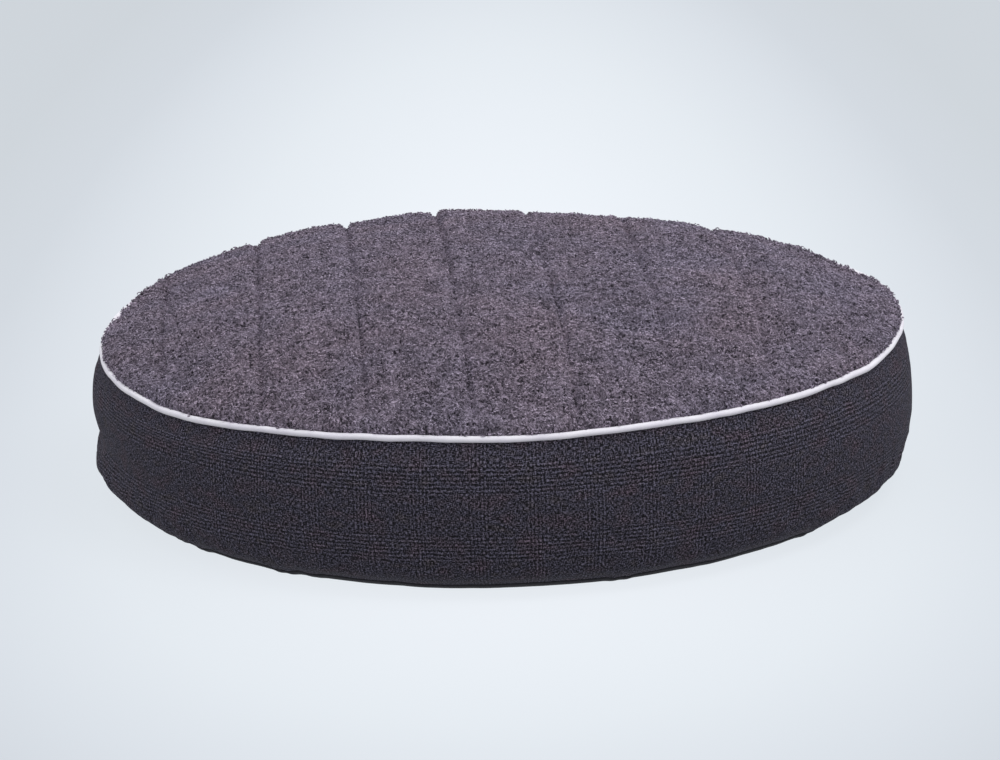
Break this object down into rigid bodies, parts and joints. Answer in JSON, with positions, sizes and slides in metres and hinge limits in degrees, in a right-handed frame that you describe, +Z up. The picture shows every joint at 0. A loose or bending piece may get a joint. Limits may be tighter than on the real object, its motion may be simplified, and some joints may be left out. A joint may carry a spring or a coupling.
{
  "type": "pet cushion bed",
  "caption": "Low round pet cushion bed with a quilted curly fleece top, piped edge, checked side band and rear zip.",
  "frame": {"origin": "centre of the base, on the floor", "axes": "+Z up through the middle of the cushion, +Y towards the zip at the rear, -Y towards the front, +X to the right seen from the front"},
  "size_m": [0.8, 0.7998, 0.2193],
  "materials": {
    "sherpa_fleece": "matte",
    "wadding": "matte",
    "backing_cloth": "matte",
    "quilting_thread": "matte",
    "piping_tape": "matte",
    "piping_cord": "matte",
    "seam_thread": "matte",
    "checked_cloth": "matte",
    "zip_tape": "matte",
    "zip_coil": "satin",
    "zip_metal": "satin",
    "base_cloth": "matte",
    "label_ribbon": "satin",
    "case_cotton": "matte",
    "case_thread": "matte",
    "fibre_fill": "matte"
  },
  "bodies": {
    "cushion": {"sherpa_top_panel": "sherpa_fleece", "quilt_wadding": "wadding", "quilt_backing": "backing_cloth", "quilting_rows_lengthwise": "quilting_thread", "quilting_rows_crosswise": "quilting_thread", "top_piping_cover": "piping_tape", "top_piping_cord": "piping_cord", "top_seam_thread": "seam_thread", "boxing_panel": "checked_cloth", "zip_strip_upper": "checked_cloth", "zip_strip_lower": "checked_cloth", "zip_tape_upper": "zip_tape", "zip_tape_lower": "zip_tape", "zip_teeth_upper": "zip_coil", "zip_teeth_lower": "zip_coil", "zip_bar_tack_closed": "seam_thread", "zip_bar_tack_open": "seam_thread", "zip_topstitch_upper": "seam_thread", "zip_topstitch_lower": "seam_thread", "join_seam_thread_right": "seam_thread", "join_seam_thread_left": "seam_thread", "base_panel": "base_cloth", "base_seam_thread": "seam_thread", "care_label": "label_ribbon", "inner_case_top": "case_cotton", "inner_case_side": "case_cotton", "inner_case_base": "case_cotton", "inner_seam_thread_top": "case_thread", "inner_seam_thread_base": "case_thread", "fibre_fill": "fibre_fill"},
    "slider": {"zip_slider": "zip_metal"},
    "pull": {"zip_pull": "zip_metal"}
  },
  "joints": [
    {"name": "zip_travel", "type": "hinge", "parent": "cushion", "child": "slider", "pos_m": [0, 0, 0.09], "axis": [0, 0, 1], "range_deg": [0, 104]},
    {"name": "pull_swing", "type": "hinge", "parent": "slider", "child": "pull", "pos_m": [0.31627, 0.2471, 0.09], "axis": [0, 0, -1], "range_deg": [0, 175]}
  ]
}
